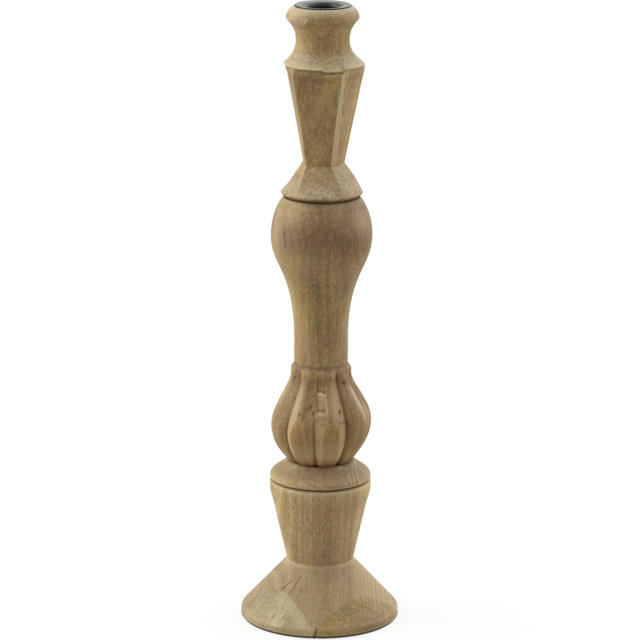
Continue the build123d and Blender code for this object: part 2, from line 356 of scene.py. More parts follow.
    # Raised fibres and open pores
    relief = add(tree, "ShaderNodeMath", {1: -0.8}, {0: pores, 2: fibre}, operation="MULTIPLY_ADD")
    bump = add(tree, "ShaderNodeBump", {"Strength": 0.7, "Distance": 0.0005}, {"Height": relief.outputs[0]})
    rough = add(tree, "ShaderNodeMapRange", {"To Min": 0.5, "To Max": 0.7}, {"Value": fibre})
    shade = add(tree, "ShaderNodeBsdfPrincipled", {"IOR": 1.45, "Specular IOR Level": 0.4},
                {"Base Color": colour, "Roughness": rough.outputs[0], "Normal": bump.outputs[0]})
    tree.links.new(shade.outputs[0], out.inputs["Surface"])
    return material


def zinc_metal():
    """Pressed zinc, dulled with age: dark grey and satin, cloudy with tarnish, with painted shade that makes
    the flange's edge black and the dish and socket near black."""
    material, tree, out = fresh("aged_zinc")
    spot = add(tree, "ShaderNodeTexCoord")
    # Clouds of tarnish about 5 mm across
    cloud = add(tree, "ShaderNodeTexNoise", {"Scale": 1000 / 5, "Detail": 4.0, "Roughness": 0.6},
                {"Vector": spot.outputs["Object"]})
    colour = add(tree, "ShaderNodeMix", {6: linear("#90928F"), 7: linear("#626462")}, {0: cloud.outputs[0]},
                 data_type="RGBA")
    # Shares by place: distance from the axis or height where each starts and is full, and its most
    up = add(tree, "ShaderNodeSeparateXYZ", {}, {0: spot.outputs["Object"]}).outputs["Z"]
    flat = add(tree, "ShaderNodeVectorMath", {1: (1, 1, 0)}, {0: spot.outputs["Object"]},
               operation="MULTIPLY")
    off_axis = add(tree, "ShaderNodeVectorMath", {}, {0: flat.outputs[0]},
                   operation="LENGTH").outputs["Value"]
    places = []
    for follows, start, full, most in (
        # Socket, mouth of the socket, all that is above the sleeve, edge of the flange
        (off_axis, SOCKET_R + 0.5, SOCKET_R + 0.25, 1.0),
        (off_axis, 16.3, 13.0, 1.0),
        (up, RECESS_FLOOR - 0.3, RECESS_FLOOR + 0.1, 1.0),
        (off_axis, FLANGE_R - 0.6, FLANGE_R - 0.2, 0.9),
    ):
        places.append(add(tree, "ShaderNodeMapRange", {"From Min": start * MM, "From Max": full * MM,
                          "To Max": most}, {"Value": follows}).outputs[0])
    socket, mouth, flange, edge = places
    # Painted shade in the socket and on the dish round its mouth, made near black, but not on the outside of
    # the sleeve
    dish = add(tree, "ShaderNodeMath", {}, {0: mouth, 1: flange}, operation="MULTIPLY")
    socket_shade = add(tree, "ShaderNodeMath", {}, {0: socket, 1: dish.outputs[0]}, operation="MAXIMUM")
    socket_shaded = add(tree, "ShaderNodeMix", {7: linear("#2B2B2A")}, {0: socket_shade.outputs[0], 6: colour.outputs[2]},
                data_type="RGBA")
    # Painted shade: the flange's edge is made near black, as the dark line at its edge
    edged = add(tree, "ShaderNodeMix", {7: linear("#191915")}, {0: edge, 6: socket_shaded.outputs[2]},
                data_type="RGBA")
    # Rings left by the spinning of the metal, drawn 0.8 mm apart so that they show
    rings = add(tree, "ShaderNodeTexWave", {"Scale": 0.314 * 1000 / 0.8, "Distortion": 1.5, "Detail": 2.0},
                {"Vector": spot.outputs["Object"]}, wave_type="RINGS", rings_direction="Z")
    bump = add(tree, "ShaderNodeBump", {"Strength": 0.15, "Distance": 0.0001},
               {"Height": rings.outputs["Fac"]})
    rough = add(tree, "ShaderNodeMapRange", {"To Min": 0.25, "To Max": 0.45}, {"Value": cloud.outputs[0]})
    shade = add(tree, "ShaderNodeBsdfPrincipled", {"Metallic": 1.0},
                {"Base Color": edged.outputs[2], "Roughness": rough.outputs[0], "Normal": bump.outputs[0]})
    tree.links.new(shade.outputs[0], out.inputs["Surface"])
    return material


def brown_felt():
    """Pressed wool felt: matt and matted, with fibres about 0.6 mm apart in all directions."""
    material, tree, out = fresh("brown_wool_felt")
    spot = add(tree, "ShaderNodeTexCoord")
    fibre = add(tree, "ShaderNodeTexNoise", {"Scale": 1000 / 0.6, "Detail": 5.0, "Roughness": 0.7,
                "Distortion": 1.5}, {"Vector": spot.outputs["Object"]})
    # The felt is real; its dark brown also makes the thin dark line under the foot's edge, standing in for
    # the shadow there
    colour = add(tree, "ShaderNodeMix", {6: linear("#2B241C"), 7: linear("#4A4033")}, {0: fibre.outputs[0]},
                 data_type="RGBA")
    bump = add(tree, "ShaderNodeBump", {"Strength": 0.6, "Distance": 0.0003}, {"Height": fibre.outputs[0]})
    shade = add(tree, "ShaderNodeBsdfPrincipled", {"Roughness": 0.95, "Sheen Weight": 0.3},
                {"Base Color": colour.outputs[2], "Normal": bump.outputs[0]})
    tree.links.new(shade.outputs[0], out.inputs["Surface"])
    return material


# The haze given to each wood is a painted sheen on its faces that look up
HEAD_WOOD = turned_wood("mango_wood_head", "#A38857", "#8A7041", "#6F562E", (30, 40), 0,
                        belts=((434, 9, 0.4, "#52300F"),), sheen_haze=(0.6, "#A0977F"))
BALUSTER_BELTS = ((285, 24, 1.0, "#52300F"), (135, 60, 0.5, "#7A5420"), (178, 15, 0.45, "#7C5232"))
BALUSTER_WOOD = turned_wood("mango_wood_baluster", "#957D54", "#7C6339", "#5E4828", (48, -26), 210,
                            sapwood=(60, "#97834E"), belts=BALUSTER_BELTS, sheen_haze=(0.35, "#837862"),
                            open_pores=0.48)
PEDESTAL_WOOD = turned_wood("mango_wood_pedestal", "#AA9268", "#8F774F", "#735D3A", (-80, -20), 430, ring=4.0,
                            contrast=0.75, sapwood=(108, "#B09A60"), sheen_haze=(0.45, "#766A50"))
RIGHT_WOOD = turned_wood("mango_wood_right_block", "#917C46", "#7B6531", "#644F24", (20, 30), 640,
                         along=(cos(CORE_TURN), sin(CORE_TURN), 0.1))
PALE_WOOD = turned_wood("mango_sapwood_left_block", "#96875F", "#806F4B", "#69593A", (-60, 20), 800,
                        contrast=0.75, open_pores=0.25, sheen_haze=(0.2, "#8F8570"))
BACK_WOOD = turned_wood("mango_wood_back_blocks", "#968058", "#7E6840", "#66502D", (60, 110), 980)
DOWEL_WOOD = turned_wood("beech_dowel", "#D9BE94", "#C7A877", "#A98A5C", (12, 30), 1200, contrast=0.6)
ZINC = zinc_metal()
FELT = brown_felt()


# Head: five planed facets below a turned neck

# Azimuths of the five arrises, cut by eye and so a little uneven
ARRISES = (-118, -46, 26, 98, 170)
RIM_ARRISES = (-118, -38, 33, 98, 170)
THROAT_ARRISES = (-120, -46, 24.5, 98, 170)
SHOULDER_ARRISES = (-115, -49, 30.5, 97, 170)
# Share by which each arris stands out further than the others
STOUTER = (0.0, 0.0, 0.02, 0.045, 0.0)
# Splits along the grain of the right facet: azimuth and height of both ends, half width, depth
FACET_SPLITS = (
    ((37.7, 388.5), (34.0, 396.0), 0.5, 0.4), ((38.8, 380.6), (36.5, 386.5), 0.5, 0.45),
    ((44.9, 365.1), (41.1, 373.3), 0.5, 0.4),
    ((49.2, 349.1), (43.1, 358.1), 0.45, 0.4), ((60.2, 331.4), (51.4, 346.9), 0.45, 0.4),
    ((62.0, 376.0), (60.0, 388.0), 0.5, 0.35),
)
# Pale strokes on the left of the bead, given in the same way, with a share in place of the depth
BEAD_STROKES = (
    ((-42, 429.0), (-34, 432.0), 0.5, 0.5), ((-38, 427.5), (-29, 431.5), 0.5, 0.5),
    ((-33, 428.5), (-25, 433.0), 0.5, 0.5),
    ((-52, 428.0), (-47, 430.0), 0.5, 0.4), ((40, 428.0), (47, 430.5), 0.5, 0.4),
)


def five_sided(corner, flatness, low, high, share):
    """Radius and azimuth round a five-sided section whose arrises lean from low to high by share.
    corner is the radius at the arrises; flatness 0 is a circle and 1 has flat sides."""
    columns = np.degrees(TURN)
    radius, turn = np.zeros((len(share), 360)), np.zeros((len(share), 360))
    for k in range(5):
        start, end = ARRISES[k], ARRISES[(k + 1) % 5] + (360 if k == 4 else 0)
        part = ((columns - start) % 360) / (end - start)
        mine = part < 1
        left = low[k] + (high[k] - low[k]) * share
        right = low[(k + 1) % 5] + (high[(k + 1) % 5] - low[(k + 1) % 5]) * share + (360 if k == 4 else 0)
        half = np.radians(right - left) / 2
        off = (part[mine] - 0.5) * 2
        flat = np.cos(half) / np.cos(half * off)
        crown = 0.014 * np.cos(off * pi / 2)
        softened = 0.006 * np.exp(-((1 - np.abs(off)) / 0.035) ** 2)
        stout = 1 + STOUTER[k] * (1 - part[mine]) + STOUTER[(k + 1) % 5] * part[mine]
        radius[:, mine] = corner * (1 + (flat * stout + crown - softened - 1) * flatness)
        turn[:, mine] = np.radians((left + right) / 2) + half * off
    return radius, turn


def head_mesh():
    """Stub, lip, faceted skirt and funnel, shoulder, neck, bead, and the seat for the cup."""
    # The lip's underside slopes up to a narrow edge
    under = path((DOWEL_BORE, HIGH_JOINT + HIGH_BORE), ((DOWEL_BORE, HIGH_JOINT), 6),
                 ((STUB_R, HIGH_JOINT), 3),
                 ((STUB_R, LIP_FOOT), 0.5), ((STUB_R + 1, LIP_FOOT), 0.8), ((LIP_R - 0.4, LIP - 0.9), 0.4))
    under += [(LIP_R - 0.1, LIP - 0.6), (LIP_R, LIP - 0.3)]
    radius, height = spun(under)
    turns = [TURN + 0 * height]
    # Skirt, round at the lip and five-sided at the throat
    t = np.concatenate([np.linspace(0, 0.96, 26), [0.98, 0.992, 1.0]])[:, None]
    skirt = LIP_R + (THROAT_R - LIP_R) * t + 0.3 * np.sin(pi * t)
    more, turn = five_sided(skirt, step_up(-0.05, 0.6, t), RIM_ARRISES, THROAT_ARRISES, t)
    radius, turns = np.vstack([radius, more]), turns + [turn]
    height = np.vstack([height, LIP + (THROAT - LIP) * t + 0 * TURN])
    # Funnel, five-sided, running out to the round shoulder
    t = np.concatenate([[0.004, 0.01, 0.02], np.linspace(0.035, 0.97, 80), [0.98, 0.988]])[:, None]
    funnel = THROAT_R + (FUNNEL_R - THROAT_R) * np.minimum(t / 0.94, 1)
    rounding = 1 - 0.62 * step_up(0.86, 0.99, t)
    more, turn = five_sided(funnel, rounding, THROAT_ARRISES, SHOULDER_ARRISES, t)
    radius, turns = np.vstack([radius, more]), turns + [turn]
    height = np.vstack([height, THROAT + (SHOULDER - THROAT) * t + 0 * TURN])
    # Shoulder, neck, bead and rim are turned
    top = [(SHOULDER_R - 0.2, SHOULDER - 0.75), (SHOULDER_R, SHOULDER - 0.5), (SHOULDER_R, SHOULDER)]
    top += [(SHOULDER_R - 0.1, SHOULDER + 0.4)]
    top += turned((NECK_R, NECK), (SHOULDER_R - 0.4, SHOULDER + 0.7), 0.35, 0.38, 0.85, 22)[:0:-1]
    top += turned((NECK_R, NECK), (BEAD_R, BEAD), 0.62, 0.10, 0, 26)
    top += turned((BEAD_R, BEAD), (RIM_R, RIM), 0.16, 0.33, 0.84, 16)
    top += path((RIM_R, RIM), ((RECESS, RIM), 0.6), ((RECESS, RECESS_FLOOR), 0.5),
                ((SLEEVE_BORE, RECESS_FLOOR), 1.5), ((SLEEVE_BORE, SLEEVE_FLOOR), 3))
    top += [(SLEEVE_BORE, SLEEVE_FLOOR)]
    more, up = spun(top)
    # The turned rows twist back to even columns over the first millimetres of the shoulder
    even = np.minimum(np.arange(len(top)) / 20, 1)[:, None]
    turns.append(turns[-1][-1] + ((TURN - turns[-1][-1] + pi) % (2 * pi) - pi) * even)
    radius, height, turn = np.vstack([radius, more]), np.vstack([height, up]), np.vstack(turns)
    hand = within(LIP_FOOT + 3, LIP, RIM - 3, RIM - 0.5, height) * (radius > 14)
    # The shoulder runs a little out of true, further out on the right
    untrue = 0.9 * np.sin(turn) * hump(height, SHOULDER, 7)
    # The facets were cut up to different heights, with a small undercut where the front one stops
    azimuth = (np.degrees(turn) + 180) % 360 - 180
    front = within(-3, 6, 29, 36, azimuth)
    undercut = 0.9 * front * hump(height, SHOULDER - 1.9, 0.9) * (radius > 20)
    height = height - 1.2 * front * hump(height, SHOULDER, 5)
    uneven = ripple(height, 3, 5, 40, 0.16) - scores(radius, height, FACET_SPLITS, turn)
    marked = radius + untrue - undercut + hand * uneven
    hollow_shade = 1 - 0.85 * hump(height, BEAD - 5, 5)
    # A pale band of clear wood runs beside the front right arris; the underside of the lip and the stub below
    # it carry painted shade where the lip shades them, and the skirt is a little darker
    rise = np.clip((height - THROAT) / (SHOULDER - THROAT), 0, 1)
    arris_at = THROAT_ARRISES[2] + (SHOULDER_ARRISES[2] - THROAT_ARRISES[2]) * rise
    arris = (THROAT_R + (FUNNEL_R - THROAT_R) * rise) * np.sin(np.radians(arris_at))
    beside = np.where((azimuth > 10) & (azimuth < 75), radius * np.sin(turn) - arris, -9)
    band = within(-0.6, 0.4, 3.0, 4.6, beside) * (rise > 0) * (rise < 0.96)
    tone_and_shade = 1.1 * step_up(STUB_R + 0.8, LIP_R - 1.4, radius) * (height < LIP - 1.2) - 0.27 * band
    tone_and_shade += 0.5 * (height < LIP_FOOT + 0.2) * (radius > 20) + 0.12 * (height > LIP) * (height < THROAT)
    tone_and_shade -= 0.16 * within(SHOULDER, SHOULDER + 1, SHOULDER + 6, SHOULDER + 10, height)
    # Painted light: the turned parts above the shoulder are paler on the left, where the left lamp falls,
    # with a few pale strokes of the rasp on the bead
    left = within(15, 60, 110, 140, -azimuth) * step_up(SHOULDER, SHOULDER + 2, height)
    tone_and_shade -= 0.3 * left + scores(radius, height, BEAD_STROKES, turn)
    return skin("head_turned", marked, height, turn, hollow_shade, step_up(LIP, LIP + 3, height), tone_and_shade)


place("head_turned", head_mesh(), "stand", "head", HEAD_WOOD)


# Baluster: cushion, nine carved lobes, shaft and ball

LOBE_WIDTH = 40
FIRST_SEAM = -8
# Chips and knife marks: azimuth, height, half width in degrees, half height, depth
BULB_MARKS = (
    (47, 175, 5, 2.2, 1.0), (59, 173, 4, 2.5, 1.1), (47, 183, 5, 2, 0.9), (58, 182, 4, 2.5, 0.9),
    (36, 178, 3, 4, 0.6),
    (26.4, 157.5, 1.8, 1.8, 1.4), (17, 180, 3, 2, 0.7), (28, 150, 6, 0.8, 0.35),
    (-13.6, 160.5, 2.5, 2.2, 1.0), (-10, 157, 2, 1.6, 0.9), (-27, 156, 2.2, 1.2, 0.9),
    (-22, 154, 2, 1.4, 0.8),
    (-18, 158, 4, 2.5, 0.6), (-61, 178, 3, 1.6, 0.9), (-60, 182, 3, 1.5, 0.8), (-55, 183, 3, 2.5, 0.9),
    (98, 180, 5, 2, 0.9), (140, 176, 3, 2, 0.6), (186, 181, 5, 2.5, 0.9), (-95, 168, 4, 2, 0.6),
    (-140, 182, 4, 2, 0.8),
)
# Small pits and dashes in the ball, the shaft and the cushion, given in the same way
PITS = (
    (16.3, 269.8, 1.1, 0.8, 1.0), (24.2, 264.5, 0.9, 0.7, 0.6), (10.2, 294.8, 1, 0.7, 0.5),
    (-13.8, 284.5, 1.3, 0.7, 0.5),
    (-46.4, 284, 0.9, 3, 0.5), (-44.8, 276, 0.8, 3, 0.5), (-18.8, 246.6, 1.3, 0.7, 0.5),
    (38, 238.3, 1.4, 0.8, 0.6),
    (-15.4, 217.6, 1.5, 1, 0.5), (31, 203.4, 1.6, 0.9, 0.5), (-29, 106.8, 1.5, 0.9, 0.4),
    (118, 262, 1.1, 0.8, 0.8),
    (171, 288, 1, 0.8, 0.6), (-132, 271, 1, 1.2, 0.7), (150, 225, 1.4, 1, 0.5), (-100, 240, 1.2, 1, 0.6),
)
# Patches of tone on the carving, the shaft and the ball, given in the same way: over 0 is darker, under 0
# paler.
# Some are wax worn off or left on; others are painted light and shade, such as the pale flanks at 66 and 79
# degrees, painted highlights where the right lamp falls, and the dark patch at 46 degrees low on the bulb,
# painted shade
BULB_TONE_AND_LIGHT = (
    (-36, 162, 7, 15, -0.22), (-19, 168, 8, 12, 0.22), (-20, 140, 9, 10, 0.06), (2, 179, 8, 5, 0.3),
    (21, 166, 8, 9, -0.2),
    (37, 149, 7, 9, 0.3), (46, 148, 9, 13, 0.15), (66, 164, 10, 12, -0.5), (79, 150, 9, 10, -0.6),
    (20, 149, 8, 5, 0.18), (-62, 180, 9, 6, 0.3),
    (-66, 151, 10, 5, 0.12), (110, 160, 9, 14, -0.35), (134, 150, 8, 12, 0.2), (160, 165, 8, 12, -0.3),
    (186, 146, 9, 10, 0.2),
    (205, 160, 8, 14, -0.35), (236, 150, 9, 12, 0.2), (262, 168, 8, 10, -0.3), (-6, 241, 7, 10, -0.15),
    (-66, 284, 14, 13, -0.25),
    (58, 292, 20, 9, -0.25), (-64, 240, 12, 16, -0.2), (64, 240, 12, 16, -0.2), (5, 127, 50, 8, -0.28),
    (-66, 152, 14, 16, 0.16), (-30, 143, 9, 6, 0.12),
    (46, 131, 12, 9, 0.26), (52, 178, 8, 5, 0.2), (42, 272, 14, 12, 0.2), (15, 105.2, 8, 0.7, 0.3),
    (-37, 105.5, 5, 0.8, 0.25), (32, 105.4, 6, 0.6, 0.2),
)
# Painted shade along the seams and the left wall of the chiselled strip and, the last three, dark lines of
# the grain
# in the cushion: azimuth and height of both ends, half width, share
BULB_LINES = (
    ((-8, 119), (-8, 150), 0.6, 0.45), ((-5.5, 157), (-6.5, 178), 0.7, 0.4),
    ((-47, 146), (-45, 183), 0.9, 0.3), ((36, 146), (34, 183), 0.9, 0.35),
    ((-45, 168), (-45, 185), 0.8, 0.3), ((34.5, 162), (34, 182), 1.2, 0.3),
    ((0, 104.5), (-42, 115), 1.3, 0.24), ((14, 104.5), (-25, 115.5), 0.9, 0.2),
    ((-24, 104.5), (-60, 114), 1.1, 0.18),
)
# Strokes of the chisel down the front, where the seam was left uncut: upper end, lower end, depth there
STROKES = ((181, 170.7, 0.9), (170.7, 158.3, 1.0))


def strip_place(height):
    """Degrees from the wavering middle of the chiselled strip, its half width, and height along its
    curved ledges."""
    off = AZIMUTH - 0.5 - 0.8 * np.sin(height / 2.1) - 0.4 * np.sin(height / 0.9)
    half = 4.7 + 2.2 * step_up(158, 178, height)
    return off, half, height + 0.35 * (off / half) ** 2 + 0.05 * off + 0.25 * np.sin(1.3 * off)


def chiselled(height):
    """Depth of the flat strip chiselled down the front; each stroke ends in a ledge, and the left wall is
    steep."""
    off, half, level = strip_place(height)
    depth = np.zeros_like(height)
    for upper, lower, deep in STROKES:
        along = np.clip((upper - level) / (upper - lower), 0, None)
        depth += deep * along ** 0.6 * step_up(lower - 0.5, lower + 0.5, level)
    return depth * within(-half - 1.2, -half, half, half + 3, off)


def ledges(height):
    """Painted shadow at the deep end of each stroke of the chisel, and a painted highlight on the ledge below
    it.
    """
    off, half, level = strip_place(height)
    lines = np.zeros_like(height)
    for _, lower, _ in STROKES:
        lines += 0.45 * hump(level, lower + 0.7, 0.7) - 0.35 * hump(level, lower - 0.9, 0.8)
    return lines * within(-half - 1, -half + 0.5, half, half + 3, off)


def lobe_share(height):
    """1 along the crest of each lobe and 0 in the seams, with an arris between the face and each flat flank.
    The two lobes on the right are wider than the others, and the front seam was cut less deep."""
    wider = AZIMUTH - 7 * hump(AZIMUTH, 80, 24) - 3 * hump(AZIMUTH, 36, 12)
    off = np.abs((wider - FIRST_SEAM) % LOBE_WIDTH - LOBE_WIDTH / 2) / (LOBE_WIDTH / 2)
    uncut = 0.45 * hump(AZIMUTH, FIRST_SEAM, 11)
    arris = 0.5 - 0.4 * step_up(141, 158, height) + 0.3 * step_up(173, 182, height)
    arris = arris + 0.15 * (1 - step_up(120, 134, height))
    flank = np.clip((off - arris) / (1 - arris), 0, 1)
    return 1 - (0.2 * off ** 2 + 0.8 * flank) * (1 - uncut)


def by_lobe(seed, spread):
    """One small chance value for each lobe, eased across the seams."""
    chance = np.random.default_rng(seed).uniform(-spread, spread, 9)
    values = chance[((np.degrees(TURN) - FIRST_SEAM) % 360 // LOBE_WIDTH).astype(int)]
    for _ in range(3):
        values = (np.roll(values, 1) + values + np.roll(values, -1)) / 3
    return values


def baluster_mesh():
    """The turned form with the carved bulb between cushion and shaft."""
    low = path((DOWEL_BORE, LOW_JOINT + LOW_BORE), ((DOWEL_BORE, LOW_JOINT), 7), ((GROOVE_R, LOW_JOINT), 5))
    # Groove above the joint, then the edge and the top of the cushion
    low += [(GROOVE_R + 0.1, LOW_JOINT + 0.1), (GROOVE_R + 0.3, LOW_JOINT + 0.45)]
    low += [(CUSHION_R - 0.6, LOW_JOINT + 0.85), (CUSHION_R - 0.1, LOW_JOINT + 1.3)]
    low += turned((CUSHION_R, LOW_JOINT + 1.8), (LOBE_FOOT_R, CUSHION), 0.42, 0.56, 0.51, 24)
    radius, height = spun(low)
    # Bulb: rows follow the crest of the lobes, and the seams between them lie deeper
    last = BULB - 1.6
    z = np.concatenate([np.linspace(CUSHION - 0.4, CUSHION + 4, 9),
                        np.linspace(CUSHION + 4.8, last, 80)])[:, None]
    # The lobes on the left sag lower than those on the right
    belly = BELLY + 2.6 * np.sin(TURN) - 1.0
    below = np.clip((belly - z) / (belly - CUSHION + 1.0), 0, 1)
    above = np.clip((z - belly) / (NECKLINE - belly), 0, 1)
    swell = LOBE_R - LOBE_TOP_R
    crest = np.where(z < belly, LOBE_R - swell * below ** 2,
                     LOBE_TOP_R + swell * (1 + np.cos(pi * above)) / 2)
    crest = crest * (1 + by_lobe(4, 0.008) - 0.004)
    depth = 4.4 * crest / LOBE_R + 1.2 * np.exp(-(z - CUSHION) / 3.5)
    # The tops of the lobes stop at uneven heights
    ragged = ripple(np.zeros((1, 360)), 12, 24, 40, 0.4)[0]
    tops = BULB - 4.0 + by_lobe(6, 0.8) + ragged
    up = z + (tops - last) * step_up(NECKLINE - 18, last, z)
    bulb = crest - depth * (1 - lobe_share(up)) - dents(TURN, up, BULB_MARKS) - chiselled(up)
    radius, height = np.vstack([radius, bulb]), np.vstack([height, up])
    # Above their edge the tops slope in to the shaft
    proud = np.maximum(bulb[-1] - SHAFT_R, 0.3)
    for t in (0.2, 0.4, 0.6, 0.8, 0.95):
        radius = np.vstack([radius, SHAFT_R + proud * (1 - t ** 1.3)])
        height = np.vstack([height, tops + (BULB + 0.2 + ragged - tops) * t])
    shaft = [(SHAFT_R - 0.2, BULB + 0.9), (SHAFT_R - 0.2, BULB + 1.3)]
    shaft += path((SHAFT_R, BULB + 2.2), ((SHAFT_R, SHAFT), 1.2))
    shaft += turned((SHAFT_R, SHAFT), (BALL_R, BALL), 0.68, 0.30, 0, 70)
    # The ball's rim stands up a little round the head's stub
    shaft += turned((BALL_R, BALL), (BALL_RIM_R, BALL_RIM), 0.515, 0.165, 0.45, 30)
    shaft += [(BALL_RIM_R, BALL_RIM), (BALL_RIM_R - 0.4, BALL_RIM - 0.1), (BALL_RIM_R - 0.8, BALL_RIM - 0.6)]
    shaft += path((BALL_RIM_R - 1.6, HIGH_JOINT), ((DOWEL_BORE, HIGH_JOINT), 3),
                  ((DOWEL_BORE, HIGH_JOINT - HIGH_BORE), 6))
    shaft += [(DOWEL_BORE, HIGH_JOINT - HIGH_BORE)]
    more, up = spun(shaft)
    radius, height = np.vstack([radius, more]), np.vstack([height, up])
    hand = within(LOW_JOINT, LOW_JOINT + 4, HIGH_JOINT - 4, HIGH_JOINT - 1, height) * (radius > 14)
    radius = radius + hand * (ripple(height, 8, 6, 36, 0.2) - dents(TURN, height, PITS))
    # Painted shade lies in the joint and at the bottoms of the seams, less of it where the crests meet the
    # cushion and in the chiselled strip, and the tops of the lobes are little rubbed
    strip = (chiselled(height) > 0.05) * (height < BULB - 3)
    hollow_shade = 1 - 0.8 * hump(height, CUSHION, 2.5) * lobe_share(height) - 0.6 * strip
    hollow_shade += 5 * hump(height, LOW_JOINT, 0.8)
    edge_wear_and_shade = 1 - 0.75 * hump(height, BULB - 3, 3) - 0.9 * hump(height, LOW_JOINT, 2.5)
    edge_wear_and_shade = edge_wear_and_shade * (1 - step_up(HIGH_JOINT - 6, HIGH_JOINT - 3, height))
    # Painted shade: dark lines in the groove of the low joint and along the top of the bulb where it meets
    # the shaft, and darkness on the ball's rim under the lip and in the groove round the head's stub
    tone_and_shade = 0.9 * hump(height, LOW_JOINT, 0.6) * (radius > 30)
    tone_and_shade += np.clip(0.34 + 0.4 * ragged, 0, None) * hump(height, BULB - 0.2, 1.2)
    tone_and_shade += 0.6 * step_up(BALL_RIM - 1.1, BALL_RIM, height)
    tone_and_shade += 0.5 * (height > HIGH_JOINT - 0.1) * (radius < BALL_RIM_R - 0.3)
    # The lobes' flanks are paler than their faces, partly cut after the wax and partly a painted highlight
    # where they catch the side lamps, and the side lobes are darker
    carved = within(CUSHION + 6, CUSHION + 14, BULB - 12, BULB - 6, height)
    flank = 4 * lobe_share(height) * (1 - lobe_share(height))
    aside = step_up(0.6, 0.85, np.abs(np.sin(TURN)))
    tone_and_shade += carved * (0.15 * aside + 0.1 - 0.22 * flank)
    tone_and_shade += dents(TURN, height, BULB_TONE_AND_LIGHT) + scores(radius, height, BULB_LINES) + ledges(height)
    # Painted light: the chiselled strip is made pale, as its face turns to the front and up, but not in its
    # upper stroke
    tone_and_shade -= strip * (0.22 - 0.28 * step_up(169, 172, height))
    # A few growth rings come out as lines on the right of the cushion
    across = np.where(np.cos(TURN) > 0, radius * np.sin(TURN), 0)
    ringed = within(11, 21, 26, 30, across) * step_up(LOW_JOINT + 1.8, LOW_JOINT + 3.5, height)
    uneven = across + 0.4 * height + 0.7 * np.sin(across / 1.9) + 0.3 * np.sin(height / 1.7)
    lines = np.maximum(np.sin(2 * pi * uneven / 3.4), -0.4) * (height < CUSHION - 1) * (radius > 24)
    return skin("baluster_carved", radius, height, TURN, hollow_shade, edge_wear_and_shade, tone_and_shade + 0.36 * lines * ringed)


place("baluster_carved", baluster_mesh(), "stand", "baluster", BALUSTER_WOOD)


# Pedestal and the built-up foot

# Fine cracks along the grain of the core: azimuth and height of both ends, half width, depth
FOOT_SCORES = (
    ((-45, 27.7), (-37.8, 33.8), 0.7, 0.5), ((-33.3, 26.2), (-27.1, 36.5), 0.7, 0.45),
    ((140, 24), (146, 33), 0.7, 0.4), ((-160, 22), (-152, 30), 0.7, 0.4),
)
# Chalky patch on the left block and a pale one on the pedestal: azimuth, height, half width in degrees,
# half height, share
CHALK = ((-37, 13, 8, 6, 1), (-32, 9, 6, 4, 0.6))
PALE_PATCH = ((58, 78, 7, 20, -0.25),)


